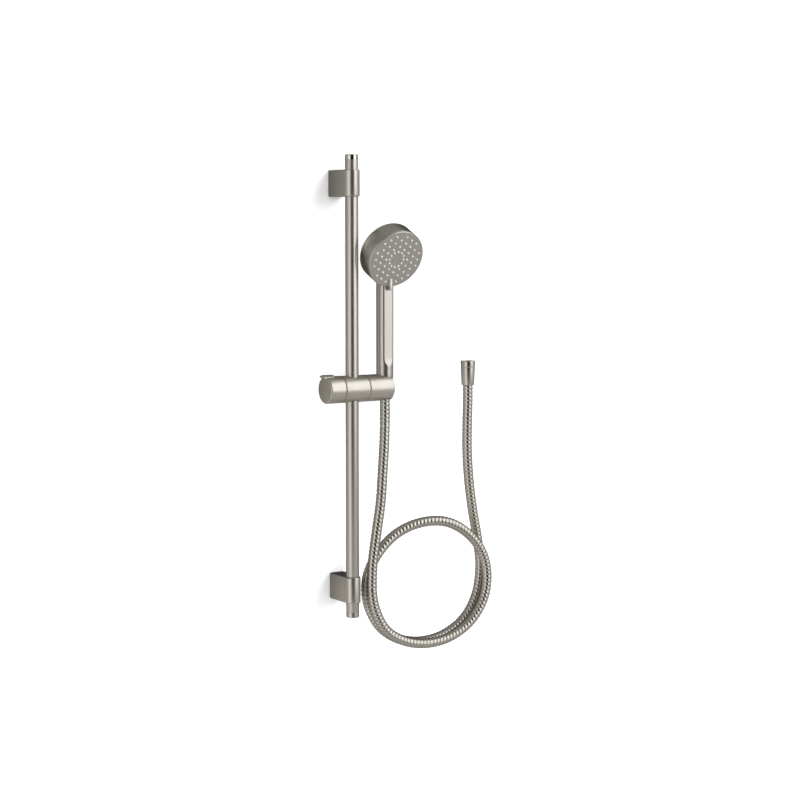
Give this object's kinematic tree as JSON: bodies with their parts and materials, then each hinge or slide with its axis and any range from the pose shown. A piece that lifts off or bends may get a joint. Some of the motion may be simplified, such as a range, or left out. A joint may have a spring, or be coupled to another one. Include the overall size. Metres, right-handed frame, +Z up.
{
  "type": "handheld shower head with slide bar",
  "caption": "Brushed nickel handheld shower head in a tilting holder on a wall slide bar, with a locking slider and a looped metal hose.",
  "frame": {"origin": "middle of the lower bracket's wall face", "axes": "+Z up along the bar, +Y into the wall, +X to the right as seen from the room, the handset's side"},
  "size_m": [0.305, 0.0988, 0.7564],
  "materials": {
    "nickel_bar": "brushed nickel, grained along the bar",
    "nickel_cast": "satin nickel plate on a casting",
    "nickel_nut": "satin nickel plate on turned brass",
    "nickel_plated_plastic": "satin nickel plate on moulded plastic",
    "polished_cap": "polished nickel",
    "hose_steel": "wound stainless strip",
    "face_plate": "satin metallic grey",
    "nozzle_silicone": "pale soft silicone",
    "nylon": "plain moulded, dark grey",
    "zinc_alloy": "bare zinc casting",
    "plain_steel": "zinc-plated steel",
    "brass": "turned brass",
    "black_rubber": "matt"
  },
  "bodies": {
    "rail": {"slide_bar": "nickel_bar", "top_cap": "polished_cap", "bottom_cap": "polished_cap", "upper_bracket": "nickel_cast", "lower_bracket": "nickel_cast", "upper_liner": "nylon", "lower_liner": "nylon", "upper_anchor": "zinc_alloy", "lower_anchor": "zinc_alloy", "grub_screws": "plain_steel", "hose_casing": "hose_steel", "supply_tail": "brass", "supply_washer": "black_rubber"},
    "wall_nut": {"supply_nut": "nickel_nut"},
    "sleeve": {"glide_sleeve": "nylon"},
    "slider": {"glide_body": "nickel_cast", "clamp_shoe": "brass", "knob_washer": "nylon", "tilt_washer": "nylon", "tilt_bolt": "plain_steel", "spring_washer": "plain_steel"},
    "knob": {"lock_knob": "nickel_plated_plastic", "knob_insert": "brass", "clamp_stud": "plain_steel"},
    "holder": {"holder_body": "nickel_cast", "holder_liner": "nylon"},
    "hose_end": {"handset_tail": "brass", "handset_washer": "black_rubber"},
    "handset": {"handset_nut": "nickel_nut", "inlet_nipple": "brass", "flow_regulator": "black_rubber", "waterway_tube": "nylon", "handset_shell": "nickel_plated_plastic", "port_plate": "nylon", "port_seals": "black_rubber", "pivot_screw": "plain_steel"},
    "selector": {"spray_face": "face_plate", "nozzle_mat": "nozzle_silicone", "diverter_disc": "nylon"}
  },
  "joints": [
    {"name": "slider_height", "type": "slide", "parent": "rail", "child": "sleeve", "axis": [0, 0, 1], "range_m": [-0.24, 0.24], "deforming": ["hose_casing"]},
    {"name": "slider_swivel", "type": "hinge", "parent": "sleeve", "child": "slider", "pos_m": [0, -0.047, 0.3045], "axis": [0, 0, 1], "range_deg": [-40, 15], "deforming": ["hose_casing"]},
    {"name": "knob_turn", "type": "hinge", "parent": "slider", "child": "knob", "pos_m": [-0.034, -0.047, 0.3045], "axis": [1, 0, 0], "range_deg": [0, 90]},
    {"name": "holder_tilt", "type": "hinge", "parent": "slider", "child": "holder", "pos_m": [0.02125, -0.047, 0.3045], "axis": [1, 0, 0], "range_deg": [-5, 30], "deforming": ["hose_casing"]},
    {"name": "handset_lift", "type": "slide", "parent": "holder", "child": "hose_end", "axis": [0, 0, 1], "range_m": [0, 0.04], "deforming": ["hose_casing"]},
    {"name": "handset_turn", "type": "hinge", "parent": "hose_end", "child": "handset", "pos_m": [0.058, -0.047, 0.318], "axis": [0, 0, 1], "range_deg": [-5, 80]},
    {"name": "spray_select", "type": "hinge", "parent": "handset", "child": "selector", "pos_m": [0.058, -0.0795, 0.497], "axis": [0, -0.8988, -0.4384], "range_deg": [-24, 24]},
    {"name": "wall_nut_spin", "type": "hinge", "parent": "rail", "child": "wall_nut", "pos_m": [0.2114, -0.047, 0.3005], "axis": [0, 0, 1], "continuous": true}
  ]
}
